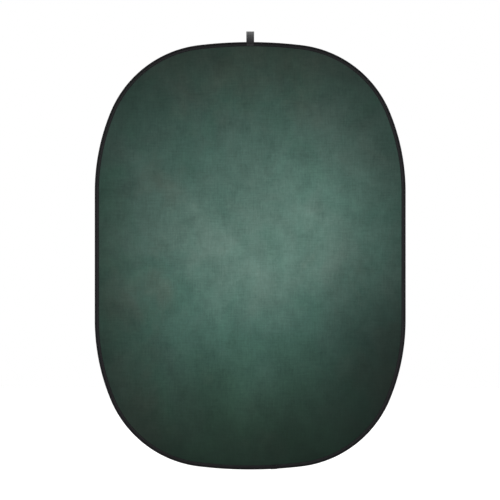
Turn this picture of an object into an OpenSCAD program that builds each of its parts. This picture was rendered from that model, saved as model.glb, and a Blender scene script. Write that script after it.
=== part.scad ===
// Collapsible oval backdrop panel, hung by a webbing loop. Millimetres, +Z up.
//
// Two cloths are sewn back to back inside a folded binding tape. A flat spring steel band runs in the
// channel that the tape forms round the edge, and holds the cloths stretched. The panel hangs in the
// XZ plane with its printed face towards -Y, and the origin is the centre of the loop's eye.
//
// The panel folds in half across its middle, printed face inward, as the first move of collapsing it,
// so whatever runs round the rim is modelled as an upper and a lower half that meet at the fold line.
// The fold axis runs along X at mid-height, 0.4 mm in front of the rim. The strap's flex line runs
// along X through the round end of the loop's stem.

/* [Panel] */
// Overall width across the rim
panel_w = 1520; // [1260:10:1830]
// Overall height of the rim
panel_h = 2090; // [1740:10:2510]
// Length of the straight stretch on each side
side_straight = 626; // [520:2:750]
// Radius of the shallow arc across the top and the bottom
crown_r = 2100; // [1750:10:2520]
// Half of the angle that the crown arc spans
crown_angle = 6.9; // [5.7:0.1:8.3]
// Angle from vertical where the shoulder arc hands over to the side arc
shoulder_angle = 67.5; // [62:0.5:71]

/* [Cloth] */
// Thickness of each of the two cloths
cloth_t = 0.5; // [0.3:0.1:0.8]
// Space between the two cloths
cloth_gap = 0.2; // [0.1:0.05:0.4]

/* [Binding tape] */
// Width of tape that shows on each face
binding_w = 20; // [16:0.5:28]
// Thickness of the tape
tape_t = 0.8; // [0.5:0.1:1.2]
// Depth of the taper from the channel down to the cloths
taper_depth = 6; // [4:0.5:8]
// How far the cloths' edges reach past the flat, into the taper
cloth_tuck = 1.5; // [0.5:0.25:2.5]
// Length of the tape's overlap at the bottom
lap_len = 32; // [20:1:50]
// Angle from the bottom centre to the overlap, about the crown arc's centre
lap_angle = 3.2; // [2.6:0.1:4.4]

/* [Spring band] */
// Width of the steel band, across the rim's thickness
band_w = 8; // [6:0.5:12]
// Thickness of the steel band
band_t = 1.2; // [0.8:0.1:1.6]
// Length of the sleeve that joins the band's ends
sleeve_len = 70; // [50:1:90]
// Wall of the joining sleeve
sleeve_wall = 0.5; // [0.4:0.1:0.8]
// Thickness of the shrink wrap over the sleeve
wrap_t = 0.25; // [0.15:0.05:0.4]
// Number of flush rivets through sleeve and band
rivets = 4; // [2:2:6]
// Diameter of the rivets
rivet_d = 3; // [2:0.25:4]
// Angle from the bottom centre to the splice, about the crown arc's centre
splice_angle = 0.8; // [0:0.1:1]

/* [Hanging strap] */
// Width of the webbing
webbing_w = 38; // [25:1:50]
// Thickness of the webbing
webbing_t = 1.6; // [1.2:0.1:2]
// Diameter of the eye, for a 16 mm stud or hook
eye_d = 17; // [14:0.5:24]
// Length of the sewn stem between the flex line and the eye's throat
stem_len = 19; // [14:1:30]
// Half of the angle between the two layers where they open into the eye
throat_angle = 48; // [47:1:54]
// Height of the space under the saddle's bridge, above the rim
bridge_rise = 8; // [7:0.5:12]
// Width of that space at its top
bridge_w = 3.6; // [3:0.2:6]
// Distance from the tape's free edge to the ends of the saddle's legs
leg_setback = 1; // [0.5:0.25:1.5]

/* [Stitching] */
// Thickness of a seam's thread above the tape
thread_t = 0.25; // [0.15:0.05:0.4]
// Width of a seam's thread
thread_w = 0.7; // [0.4:0.1:1]
// Distance of both seams from the edges of the flat that they run on
seam_margin = 2; // [1.5:0.25:3]

/* [Fits] */
// Gap at the fold line between the two halves
fold_gap = 0.3; // [0.2:0.05:0.6]
// Slack of the band in its sleeve, and of the wrapped sleeve in the channel
sleeve_fit = 0.05; // [0.02:0.01:0.1]
// Gap between the band's two butted ends
band_end_gap = 1; // [0.5:0.1:2]
// Gap between sewn webbing or tape and the thread below it
sewn_gap = 0.05; // [0.02:0.01:0.1]
// Gap between the loop's rounded stem and the saddle's bridge
flex_gap = 0.3; // [0.2:0.05:0.6]

/* [Hidden] */
$fn = 256;
overrun = 1; // how far a cutting tool passes the face that it cuts
fill_depth = 100; // from the rim's edge to the corners of the polygon that fills a cloth

// Outline of the rim in the panel's own plane: straight side, side arc, shoulder arc and crown arc,
// each tangent to the next. The two free radii follow from the overall sizes, kept to a hundredth.
function to_hundredth(x) = round(100 * x) / 100;
half_w = panel_w / 2;
half_h = panel_h / 2;
straight = side_straight / 2;
reach_x = half_w - crown_r * sin(crown_angle);
reach_y = half_h - straight - crown_r * (1 - cos(crown_angle));
spread = sin(shoulder_angle - crown_angle) - cos(crown_angle) + cos(shoulder_angle);
shoulder_r = to_hundredth(
    (reach_x * cos(shoulder_angle) - reach_y * (1 - sin(shoulder_angle))) / spread);
side_r = to_hundredth((reach_y * (sin(shoulder_angle) - sin(crown_angle))
    - reach_x * (cos(crown_angle) - cos(shoulder_angle))) / spread);
crown_c = [0, half_h - crown_r];
shoulder_c = [
    to_hundredth(crown_c[0] + (crown_r - shoulder_r) * sin(crown_angle)),
    to_hundredth(crown_c[1] + (crown_r - shoulder_r) * cos(crown_angle))
];
side_c = [half_w - side_r, straight];

// Section of the rim. Depths are measured inwards from the rim's outer edge.
cloth_half = cloth_gap / 2 + cloth_t;
face_half = cloth_half + tape_t;
band_slack = sleeve_fit + sleeve_wall + wrap_t + 2 * sleeve_fit;
band_depth = tape_t + band_slack;
channel_half = band_w / 2 + band_slack;
channel_depth = band_depth + band_t + band_slack;
rim_half = channel_half + tape_t;
flat_depth = channel_depth + taper_depth;
cloth_depth = flat_depth - cloth_tuck;
channel_seam_depth = flat_depth + seam_margin;
edge_seam_depth = binding_w - seam_margin;

// Inner face of the binding tape, from the printed side's free edge round to the other side's. Each
// point is [outwards from the rim's edge, towards the printed face].
flap_path = [
    [-binding_w, cloth_half],
    [-flat_depth, cloth_half],
    [-channel_depth, channel_half],
    [-tape_t, channel_half]
];
tape_path = concat(flap_path, [for (i = [3:-1:0]) [flap_path[i][0], -flap_path[i][1]]]);

// Lengths along the rim at the bottom, as angles about the crown arc's centre.
function crown_sweep(length) = length / crown_r * 180 / PI;
sleeve_sweep = crown_sweep(sleeve_len);
rivet_pitch = sleeve_sweep / rivets;
lap_sweep = crown_sweep(lap_len);
bartack_sweep = crown_sweep(lap_len / 2 - 2 * seam_margin);

// Hanging strap, in heights above the rim's top edge.
sewn_lift = thread_t + sewn_gap;
eye_r = eye_d / 2;
eye_outer_r = eye_r + webbing_t;
flex_v = bridge_rise + webbing_t + flex_gap + thread_t + webbing_t;
throat_v = flex_v + stem_len;
eye_v = throat_v + eye_r / sin(throat_angle);
leg_depth = binding_w - leg_setback;
crease = 0.02; // width left where the two inner layers meet
drop = half_h + eye_v; // from the eye's centre down to the panel's centre

// Points of a path moved sideways by d, to the left of its direction, with mitred corners.
function unit(v) = v / norm(v);
function left(a, b) = let (d = unit(b - a)) [-d[1], d[0]];
function moved_aside(path, d) = [
    for (i = [0:len(path) - 1])
        let (
            last = len(path) - 1,
            before = i == 0 ? left(path[0], path[1]) : left(path[i - 1], path[i]),
            after = i == last ? before : left(path[i], path[i + 1])
        )
        path[i] + d * (before + after) / (1 + before * after)
];
function reversed(path) = [for (i = [len(path) - 1:-1:0]) path[i]];

// A strip of cloth or tape in section: it lies between the path moved aside by from and by from + t.
module strip_section(path, from, t) {
    polygon(concat(moved_aside(path, from), reversed(moved_aside(path, from + t))));
}

// From the panel's own plane, x across, y up and z towards the printed face, to where it hangs.
module hung() {
    translate([0, 0, -drop]) rotate([90, 0, 0]) children();
}

// From the upper half's place to the lower half's.
module lower() {
    rotate(180) children();
}

// The arcs of the upper half, going anticlockwise, as [centre, radius, angle that the arc starts at].
function mirrored(p) = [-p[0], p[1]];
UPPER_ARCS = [
    [side_c, side_r, 0],
    [shoulder_c, shoulder_r, 90 - shoulder_angle],
    [crown_c, crown_r, 90 - crown_angle],
    [mirrored(shoulder_c), shoulder_r, 90 + crown_angle],
    [mirrored(side_c), side_r, 90 + shoulder_angle]
];

// Where an arc starts, at a depth from the rim's edge, and where the last one ends.
function on_arc(arc, angle, depth) = arc[0] + (arc[1] - depth) * [cos(angle), sin(angle)];
function junctions(depth) = concat(
    [for (arc = UPPER_ARCS) on_arc(arc, arc[2], depth)],
    [[depth - half_w, straight]]
);

// Two arcs meet on the line through both of their centres. A wedge reaches from one such line to the
// next, well past the rim on both sides, so neighbours are cut along the very same line.
wedge_reach = 150;
wedge_inner = junctions(wedge_reach);
wedge_outer = junctions(-wedge_reach);
module wedge(i) {
    polygon([wedge_inner[i], wedge_outer[i], wedge_outer[i + 1], wedge_inner[i + 1]]);
}

// Sweeps a section along one arc. The section's x is outwards from the rim's edge.
module along_arc(i) {
    intersection() {
        translate(UPPER_ARCS[i][0]) rotate_extrude() translate([UPPER_ARCS[i][1], 0]) children();
        linear_extrude(4 * rim_half, center = true) wedge(i);
    }
}

// Sweeps a section round the whole upper half of the rim, down to the fold line.
module along_upper_rim() {
    side_len = straight - fold_gap / 2;
    translate([half_w, straight, 0]) rotate([90, 0, 0]) linear_extrude(side_len) children();
    translate([-half_w, fold_gap / 2, 0]) rotate([90, 0, 180]) linear_extrude(side_len) children();
    for (i = [0:len(UPPER_ARCS) - 1]) along_arc(i) children();
}

// Sweeps a section over a short stretch of the crown arc, centred at an angle from the middle.
module along_crown(angle, sweep) {
    translate(crown_c) rotate(90 + angle - sweep / 2) rotate_extrude(angle = sweep)
        translate([crown_r, 0]) children();
}

// One cloth, which reaches from its own height up by its thickness: a broad strip that follows the
// rim, and a polygon with its corners inside the strip that fills the middle.
module cloth(from) {
    fold_corners = [for (side = [-1, 1]) [side * (half_w - fill_depth), fold_gap / 2]];
    along_upper_rim() translate([-2 * fill_depth, from])
        square([2 * fill_depth - cloth_depth, cloth_t]);
    translate([0, 0, from]) linear_extrude(cloth_t)
        polygon(concat(fold_corners, junctions(fill_depth)));
}

module front_cloth() {
    color([0.27, 0.39, 0.35]) cloth(cloth_gap / 2);
}

module back_cloth() {
    color([0.42, 0.41, 0.38]) cloth(-cloth_half);
}

// The band stands on edge like a barrel hoop, its width across the rim's thickness.
module band_section() {
    translate([-band_depth - band_t, -band_w / 2]) square([band_t, band_w]);
}

module binding() {
    color([0.06, 0.06, 0.065]) along_upper_rim() strip_section(tape_path, 0, tape_t);
}

// One line of thread on each face of the binding, at a depth from the rim's edge.
module seam(depth) {
    color([0.1, 0.1, 0.1]) along_upper_rim()
        for (z = [face_half, -face_half - thread_t])
            translate([-depth - thread_w / 2, z]) square([thread_w, thread_t]);
}

// Places a piece across the band, at an angle along the crown arc from the middle.
module at_band(angle) {
    translate(crown_c) rotate(90 + angle) translate([crown_r - band_depth - band_t / 2, 0, 0])
        children();
}

// A row of round bars through the band and its sleeve.
module rivet_row(h, d) {
    for (i = [0:rivets - 1]) at_band(splice_angle + (i - (rivets - 1) / 2) * rivet_pitch)
        rotate([0, 90, 0]) cylinder(h = h, d = d, center = true);
}

module rivet_holes() {
    rivet_row(2 * channel_depth, rivet_d + 2 * sleeve_fit);
}

module spring_band() {
    color([0.55, 0.57, 0.6]) along_upper_rim() band_section();
}

// The band's two ends butt at the splice.
module spliced_band() {
    color([0.55, 0.57, 0.6]) difference() {
        along_upper_rim() band_section();
        at_band(splice_angle)
            cube([band_t + 2 * overrun, band_end_gap, band_w + 2 * overrun], center = true);
        rivet_holes();
    }
}

// A tube round the band: its inner face clears the band by from, and its wall is t thick.
module round_band(from, t) {
    translate([-band_depth - band_t / 2, 0]) difference() {
        square([band_t + 2 * (from + t), band_w + 2 * (from + t)], center = true);
        square([band_t + 2 * from, band_w + 2 * from], center = true);
    }
}

module splice_sleeve() {
    color([0.7, 0.7, 0.72]) difference() {
        along_crown(splice_angle, sleeve_sweep) round_band(sleeve_fit, sleeve_wall);
        rivet_holes();
    }
}

module splice_rivets() {
    color([0.75, 0.75, 0.76]) rivet_row(band_t + 2 * sleeve_wall, rivet_d);
}

module splice_wrap() {
    color([0.08, 0.08, 0.09])
        along_crown(splice_angle, sleeve_sweep) round_band(sleeve_wall + 2 * sleeve_fit, wrap_t);
}

// The tape's end, folded over its beginning.
module binding_lap() {
    color([0.07, 0.07, 0.075])
        along_crown(lap_angle, lap_sweep) strip_section(tape_path, tape_t + sewn_lift, tape_t);
}

// Two bars of dense stitching across each face of the overlap.
module lap_bartacks() {
    face = face_half + sewn_lift + tape_t;
    bar = binding_w - flat_depth - 2 * seam_margin;
    color([0.12, 0.12, 0.12]) for (side = [-1, 1], z = [face, -face - thread_t])
        translate([0, 0, z]) linear_extrude(thread_t) translate(crown_c)
            rotate(90 + lap_angle + side * bartack_sweep)
                translate([crown_r - binding_w + seam_margin, -thread_w])
                    square([bar, 2 * thread_w]);
}

// Stands a section across the strap: the section's x is height above the rim, and its y is towards
// the printed face.
module across_strap(width) {
    translate([-width / 2, half_h, 0]) rotate([90, 0, 90]) linear_extrude(width) children();
}

// What joins a round eye of radius r to a stem of half width foot_half, its sides tangent to the eye.
module throat(r, foot_half) {
    tangent = r * [-sin(throat_angle), cos(throat_angle)];
    foot = tangent[0] - (tangent[1] - foot_half) / tan(throat_angle);
    polygon([
        [eye_v, 0],
        [eye_v + tangent[0], tangent[1]],
        [eye_v + foot, foot_half],
        [eye_v + foot, -foot_half],
        [eye_v + tangent[0], -tangent[1]]
    ]);
}

// Doubled webbing: a round-ended stem on the flex line, opening into a round eye.
module hanging_loop() {
    color([0.09, 0.09, 0.1]) across_strap(webbing_w) difference() {
        union() {
            translate([eye_v, 0]) circle(eye_outer_r);
            throat(eye_outer_r, webbing_t);
            translate([flex_v, -webbing_t]) square([stem_len + webbing_t, 2 * webbing_t]);
            translate([flex_v, 0]) circle(webbing_t);
        }
        translate([eye_v, 0]) circle(eye_r);
        throat(eye_r, crease / 2);
    }
}

// A line of thread between two points of a face.
module stitch_line(a, b) {
    along = unit(b - a);
    aside = thread_w / 2 * [-along[1], along[0]];
    reach = thread_w / 2 * along;
    polygon([a - reach - aside, b + reach - aside, b + reach + aside, a - reach + aside]);
}

// A sewn box, crossed corner to corner.
module box_stitch(w, low, high) {
    c = [[-w / 2, low], [w / 2, low], [w / 2, high], [-w / 2, high]];
    for (i = [0:3]) stitch_line(c[i], c[(i + 1) % 4]);
    stitch_line(c[0], c[2]);
    stitch_line(c[1], c[3]);
}

module loop_box_stitch() {
    color([0.15, 0.15, 0.15]) translate([0, half_h, 0])
        for (z = [webbing_t, -webbing_t - thread_t])
            translate([0, 0, z]) linear_extrude(thread_t)
                box_stitch(webbing_w - 4 * seam_margin, flex_v + seam_margin, throat_v - seam_margin);
}

// Webbing legs that straddle the rim and are sewn to both faces of the binding.
module strap_saddle() {
    leg = moved_aside(concat([[-leg_depth, cloth_half]], [for (i = [1:3]) flap_path[i]]),
        tape_t + sewn_lift);
    front = concat([for (i = [0:2]) leg[i]], [[0, leg[3][1]], [bridge_rise, bridge_w / 2]]);
    path = concat(front, [for (p = reversed(front)) [p[0], -p[1]]]);
    color([0.09, 0.09, 0.1]) across_strap(webbing_w) strip_section(path, 0, webbing_t);
}

module saddle_stitch() {
    face = face_half + sewn_lift + webbing_t;
    color([0.15, 0.15, 0.15]) translate([0, half_h, 0])
        for (z = [face, -face - thread_t])
            translate([0, 0, z]) linear_extrude(thread_t)
                box_stitch(webbing_w - 4 * seam_margin, -leg_depth + seam_margin,
                    -flat_depth - seam_margin);
}

hung() hanging_loop();
hung() loop_box_stitch();
hung() strap_saddle();
hung() saddle_stitch();
hung() front_cloth();  // front_cloth_upper
hung() back_cloth();  // back_cloth_upper
hung() spring_band();  // spring_band_upper
hung() binding();  // binding_upper
hung() seam(channel_seam_depth);  // channel_seam_upper
hung() seam(edge_seam_depth);  // edge_seam_upper
hung() lower() front_cloth();  // front_cloth_lower
hung() lower() back_cloth();  // back_cloth_lower
hung() lower() spliced_band();  // spring_band_lower
hung() lower() binding();  // binding_lower
hung() lower() seam(channel_seam_depth);  // channel_seam_lower
hung() lower() seam(edge_seam_depth);  // edge_seam_lower
hung() lower() splice_sleeve();
hung() lower() splice_rivets();
hung() lower() splice_wrap();
hung() lower() binding_lap();
hung() lower() lap_bartacks();
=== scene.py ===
"""A collapsible oval backdrop panel: two cloths stretched by a taped spring hoop, hung by webbing."""

import functools
import itertools
import logging
import math
import operator
from dataclasses import dataclass, field
from enum import Enum
from typing import Callable, Iterable, Optional, Sequence, Union

import bmesh
import bpy
import numpy as np
from mathutils import Matrix, Vector


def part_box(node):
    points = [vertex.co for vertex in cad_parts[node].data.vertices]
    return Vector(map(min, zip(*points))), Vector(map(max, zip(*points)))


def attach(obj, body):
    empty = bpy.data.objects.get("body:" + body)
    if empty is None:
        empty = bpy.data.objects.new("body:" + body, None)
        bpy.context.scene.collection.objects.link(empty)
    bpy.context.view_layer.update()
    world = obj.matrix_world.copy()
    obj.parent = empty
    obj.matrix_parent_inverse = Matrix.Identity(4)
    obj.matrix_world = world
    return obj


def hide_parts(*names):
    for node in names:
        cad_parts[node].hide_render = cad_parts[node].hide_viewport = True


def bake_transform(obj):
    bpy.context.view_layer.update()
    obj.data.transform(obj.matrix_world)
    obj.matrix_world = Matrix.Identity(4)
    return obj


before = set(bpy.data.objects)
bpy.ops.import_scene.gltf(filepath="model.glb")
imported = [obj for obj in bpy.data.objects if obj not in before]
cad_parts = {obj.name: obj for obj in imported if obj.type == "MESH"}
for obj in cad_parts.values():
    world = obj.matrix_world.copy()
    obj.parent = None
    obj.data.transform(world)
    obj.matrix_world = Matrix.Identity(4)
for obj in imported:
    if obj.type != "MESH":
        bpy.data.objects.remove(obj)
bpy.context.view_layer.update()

MM = 0.001
HAIR = 1e-6  # a length too small to matter, in metres
log = logging.getLogger("backdrop")


# ---------------------------------------------------------------------------------------------------
# Shader maths


class Value:
    """A socket that carries a number, on which Python's operators add Math nodes."""

    def __init__(self, graph: "Graph", socket: bpy.types.NodeSocket) -> None:
        """Wrap a socket.

        Args:
            graph: The node graph that the socket belongs to.
            socket: The output socket.
        """
        self.graph = graph
        self.socket = socket

    def _with(self, operation: str, *values: "Number", clamp: bool = False) -> "Value":
        """Feed values to a Math node.

        Args:
            operation: The Math node's operation.
            values: Its inputs, in order.
            clamp: Whether the result is kept between 0 and 1.

        Returns:
            The node's result.
        """
        settings = {"operation": operation, "use_clamp": clamp}
        return self.graph.node("ShaderNodeMath", settings, dict(enumerate(values)))

    def __add__(self, other: "Number") -> "Value":
        """Return self + other."""
        return self._with("ADD", self, other)

    def __sub__(self, other: "Number") -> "Value":
        """Return self - other."""
        return self._with("SUBTRACT", self, other)

    def __rsub__(self, other: "Number") -> "Value":
        """Return other - self."""
        return self._with("SUBTRACT", other, self)

    def __mul__(self, other: "Number") -> "Value":
        """Return self * other."""
        return self._with("MULTIPLY", self, other)

    def __truediv__(self, other: "Number") -> "Value":
        """Return self / other."""
        return self._with("DIVIDE", self, other)

    def __rtruediv__(self, other: "Number") -> "Value":
        """Return other / self."""
        return self._with("DIVIDE", other, self)

    def __abs__(self) -> "Value":
        """Return the value without its sign."""
        return self._with("ABSOLUTE", self)

    __radd__ = __add__
    __rmul__ = __mul__

    def sine(self) -> "Value":
        """Return the sine of the value, in radians."""
        return self._with("SINE", self)

    def exponential(self) -> "Value":
        """Return e to the power of the value."""
        return self._with("EXPONENT", self)

    def clamped(self) -> "Value":
        """Return the value kept between 0 and 1."""
        return self._with("ADD", self, 0.0, clamp=True)

    def ramped(self, low: float, high: float) -> "Value":
        """Return 0 below low, 1 above high and a smooth rise between them."""
        inputs = {"Value": self, "From Min": low, "From Max": high}
        return self.graph.node("ShaderNodeMapRange", {"interpolation_type": "SMOOTHSTEP"}, inputs)

    def near(self, middle: float, full: float, gone: float) -> "Value":
        """Return 1 within the distance full of the middle, and 0 beyond the distance gone."""
        return 1.0 - abs(self - middle).ramped(full, gone)


Number = Union[Value, float]
Colour = tuple[float, float, float]


class Graph:
    """The node graph of one material, built from its Principled shader backwards."""

    def __init__(self, name: str) -> None:
        """Make an empty material.

        Args:
            name: The material's name.
        """
        self.material = bpy.data.materials.new(name)
        self.material.use_nodes = True
        self.tree = self.material.node_tree
        self.tree.nodes.clear()

    def node(self, kind: str, settings: dict, inputs: dict, output: Union[int, str] = 0) -> Value:
        """Add a node.

        Args:
            kind: The node's type.
            settings: Its properties, set before its sockets.
            inputs: Values, colours or links by socket name or index.
            output: The output socket that is wanted.

        Returns:
            That output.
        """
        made = self.tree.nodes.new(kind)
        for name, value in settings.items():
            setattr(made, name, value)
        for key, value in inputs.items():
            if isinstance(value, Value):
                self.tree.links.new(value.socket, made.inputs[key])
            elif isinstance(value, tuple) and made.inputs[key].type == "RGBA":
                made.inputs[key].default_value = (*value, 1.0)
            else:
                made.inputs[key].default_value = value
        return Value(self, made.outputs[output])

    def flat_place(self) -> Value:
        """Return the piece's own UV map, in metres."""
        return self.node("ShaderNodeUVMap", {"uv_map": "flat"}, {})

    def solid_place(self) -> Value:
        """Return Object coordinates, in metres."""
        return self.node("ShaderNodeTexCoord", {}, {}, "Object")

    def axes(self, place: Value) -> tuple[Value, Value]:
        """Return the first two coordinates of a place."""
        return tuple(self.node("ShaderNodeSeparateXYZ", {}, {0: place}, i) for i in (0, 1))

    def wave(self, along: Value, pitch: float) -> Value:
        """Return a sine from -1 to 1 along a coordinate, with that pitch in metres."""
        return (along * (2 * math.pi / pitch)).sine()

    def mixed(self, share: Number, low: Union[Value, Colour], high: Union[Value, Colour]) -> Value:
        """Return a colour between two, low at share 0 and high at share 1."""
        settings = {"data_type": "RGBA", "clamp_factor": True}
        return self.node("ShaderNodeMix", settings, {0: share, 6: low, 7: high}, 2)

    def bumped(self, height: Value, depth: float, strength: float = 1.0) -> Value:
        """Return a normal for a height from 0 to 1 that is depth metres tall."""
        inputs = {"Strength": strength, "Distance": depth, "Height": height}
        return self.node("ShaderNodeBump", {}, inputs)

    def finish(self, constants: dict, links: dict) -> bpy.types.Material:
        """Close the graph.

        Args:
            constants: Principled sockets that are the same all over.
            links: Principled sockets that vary.

        Returns:
            The material.
        """
        shader = self.node("ShaderNodeBsdfPrincipled", {}, {**constants, **links})
        output = self.tree.nodes.new("ShaderNodeOutputMaterial")
        self.tree.links.new(shader.socket, output.inputs["Surface"])
        return self.material


# ---------------------------------------------------------------------------------------------------
# Finishes


@dataclass(frozen=True)
class Mottle:
    """Unevenness of one size, such as clouds in paint, thick yarns, dust or drawing marks.

    Attributes:
        size: Size of its lumps, in metres, along both axes of a flat place or all three of a solid.
        detail: How many finer layers it has.
        roughness: How strong the finer layers are.
        twist: How much its lumps are twisted.
    """

    size: tuple[float, ...]
    detail: float
    roughness: float
    twist: float = 0.0

    def on(self, graph: Graph, place: Value) -> Value:
        """Add the unevenness to a material.

        Args:
            graph: The material's nodes.
            place: Where it is read.

        Returns:
            Noise that is even about 0, from about -1 to 1.
        """
        size = self.size if len(self.size) == 3 else (*self.size, 1.0)
        scale = tuple(1.0 / s for s in size)
        inputs = {"Vector": graph.node("ShaderNodeMapping", {}, {"Vector": place, "Scale": scale}),
                  "Scale": 1.0, "Detail": self.detail, "Roughness": self.roughness,
                  "Distortion": self.twist}
        return (graph.node("ShaderNodeTexNoise", {}, inputs) - 0.5) * 2.0


@dataclass(frozen=True)
class Glow:
    """A soft pool on the cloth, where one paint is strong or the ground is light.

    Attributes:
        strength: How strong it is in its middle, below 0 where it takes away.
        across: Its middle, from the panel's centre line, in metres.
        up: Its middle, from mid-height, in metres.
        width: Its spread to the sides, in metres.
        height: Its spread up and down, in metres.
        lean: How far it moves aside for each metre of height.
    """

    strength: float
    across: float
    up: float
    width: float
    height: float
    lean: float = 0.0

    def on(self, x: Value, z: Value) -> Value:
        """Add the pool to a material.

        Args:
            x: Distance from the panel's centre line.
            z: Height above the panel's middle.

        Returns:
            The pool's strength there.
        """
        rise = z - self.up
        aside = (x - self.across - rise * self.lean) / self.width
        over = rise / self.height
        return ((aside * aside + over * over) * -0.5).exponential() * self.strength


def total(values: Iterable[Value]) -> Value:
    """Return the sum of some values."""
    return functools.reduce(operator.add, values)


@dataclass(frozen=True)
class Weave:
    """Plain weave of fine yarn, with slubs where the yarn runs thick.

    Attributes:
        pitch: Distance between yarns, in metres.
        slub_width: Width of a slub, in metres.
        slub_length: Length of a slub, in metres.
    """

    pitch: float = 0.9 * MM
    slub_width: float = 6.5 * MM
    slub_length: float = 75 * MM

    def yarns(self, graph: Graph, x: Value, z: Value) -> Value:
        """Return the weave's height, from about -1 to 1."""
        return graph.wave(x, self.pitch) * graph.wave(z, self.pitch)

    def slubs(self, graph: Graph, place: Value) -> Value:
        """Return streaks along the warp and the weft, even about 0."""
        size = (self.slub_width, self.slub_length)
        return Mottle(size, 2.0, 0.6).on(graph, place) + Mottle(size[::-1], 2.0, 0.6).on(graph, place)


@dataclass(frozen=True)
class PaintedCloth:
    """Muslin printed with a cloudy hand-painted ground, light in the middle.

    Attributes:
        shade: Colour of the dark ground.
        green: Colour of the light paint.
        grey: Colour that the light paint clouds over to.
        umber: Colour of the warm stains.
        moss: Colour of the yellower, deeper greens.
        pools: Where the paint is light.
        warmth: Where the umber is strongest.
        greying: Where the grey is strongest.
        mossing: Where the moss is strongest.
        clouds: The ground's large clouds.
        daubs: Strokes of a wide brush.
        sponging: Dabs of a sponge.
        grain: Paint that sits unevenly on the weave.
        grey_clouds: How the grey drifts.
        warm_patches: How the umber drifts.
        weave: The cloth's weave.
        roughness: Its roughness.
        relief: Height of its bumps, in metres.
        shine: Strength of its reflections.
    """

    shade: Colour = (0.0022, 0.0050, 0.0038)
    green: Colour = (0.100, 0.223, 0.180)
    grey: Colour = (0.131, 0.214, 0.181)
    umber: Colour = (0.168, 0.204, 0.166)
    moss: Colour = (0.094, 0.220, 0.140)
    pools: tuple[Glow, ...] = (
        Glow(0.78, 0.050, 0.087, 0.528, 0.538, lean=0.07),  # the broad light
        Glow(0.235, 0.088, -0.030, 0.342, 0.220),  # its bright middle
        Glow(-0.105, 0.56, -0.42, 0.20, 0.26),  # darker low on the right
        Glow(-0.040, 0.44, 0.74, 0.22, 0.20),  # darker on the upper right shoulder
        Glow(0.050, -0.62, 0.52, 0.20, 0.30),  # lighter high on the left
        Glow(0.080, 0.34, 0.45, 0.16, 0.20),  # lighter high on the right
        Glow(0.040, -0.25, -0.22, 0.16, 0.16),  # lighter left below the middle
        Glow(-0.075, 0.46, -0.22, 0.22, 0.17),  # darker right below the middle
        Glow(-0.030, 0.15, -0.75, 0.16, 0.16),  # darker near the bottom
        Glow(0.035, -0.45, -0.66, 0.10, 0.12),  # lighter low on the left
        Glow(0.110, 0.34, 0.23, 0.12, 0.12),  # lighter right above the middle
        Glow(-0.080, -0.06, 0.26, 0.11, 0.14),  # darker above the middle
        Glow(0.060, -0.03, -0.65, 0.08, 0.10),  # lighter low on the centre line
        Glow(-0.050, -0.25, -0.66, 0.07, 0.09),  # darker beside it
        Glow(-0.030, -0.76, -0.15, 0.10, 0.50),  # darker along the left edge
        Glow(-0.030, 0.76, 0.05, 0.09, 0.40),  # darker along the right edge
    )
    warmth: tuple[Glow, ...] = (
        Glow(0.62, 0.02, 1.08, 0.70, 0.24),  # along the top
        Glow(0.28, -0.42, 0.37, 0.12, 0.12),  # high on the left
        Glow(0.40, -0.44, -0.20, 0.12, 0.12),  # left below the middle
        Glow(0.55, 0.70, -0.60, 0.14, 0.20),  # the lower right edge
        Glow(0.60, -0.58, -0.82, 0.16, 0.14),  # the lower left shoulder
        Glow(0.25, 0.02, -0.95, 0.10, 0.10),  # the middle of the bottom
        Glow(0.34, -0.67, -0.26, 0.10, 0.16),  # the left edge
    )
    greying: tuple[Glow, ...] = (
        Glow(0.45, 0.05, 0.02, 0.32, 0.24),  # the middle
        Glow(0.30, 0.45, 0.60, 0.20, 0.20),  # high on the right
        Glow(-0.45, 0.10, -0.50, 0.50, 0.22),  # less below the middle
    )
    mossing: tuple[Glow, ...] = (
        Glow(0.85, 0.0, -1.00, 0.90, 0.30),  # along the bottom
        Glow(0.36, -0.72, 0.0, 0.12, 0.40),  # along the left edge
        Glow(0.30, 0.0, 1.00, 0.60, 0.22),  # along the top
    )
    clouds: Mottle = Mottle((0.24, 0.27), 5.0, 0.60, 0.5)
    daubs: Mottle = Mottle((0.115, 0.14), 3.0, 0.55, 0.6)
    sponging: Mottle = Mottle((0.062, 0.075), 4.0, 0.68, 0.3)
    grain: Mottle = Mottle((11 * MM, 14 * MM), 2.0, 0.65)
    grey_clouds: Mottle = Mottle((0.27, 0.31), 4.0, 0.56, 0.6)
    warm_patches: Mottle = Mottle((0.19, 0.22), 4.0, 0.56, 0.5)
    weave: Weave = Weave()
    roughness: float = 0.9
    relief: float = 0.12 * MM
    shine: float = 0.12

    def _paint(self, graph: Graph, place: Value, sponging: Value) -> Value:
        """Mix the light paint, before it is shaded.

        Args:
            graph: The material's nodes.
            place: Where it is read.
            sponging: The sponge's dabs there.

        Returns:
            The paint's colour.
        """
        x, z = graph.axes(place)
        cloud = self.grey_clouds.on(graph, place)
        patch = self.warm_patches.on(graph, place)
        grey = total(glow.on(x, z) for glow in self.greying) + cloud * 0.95 + sponging * 0.2 + 0.42
        warm = total(glow.on(x, z) for glow in self.warmth) + patch * 0.65 - 0.16 + sponging * 0.10
        moss = total(glow.on(x, z) for glow in self.mossing) + sponging * 0.15 - cloud * 0.35 - 0.06
        paint = graph.mixed(grey.clamped(), self.green, self.grey)
        paint = graph.mixed(moss.clamped(), paint, self.moss)
        return graph.mixed(warm.clamped(), paint, self.umber)

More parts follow.
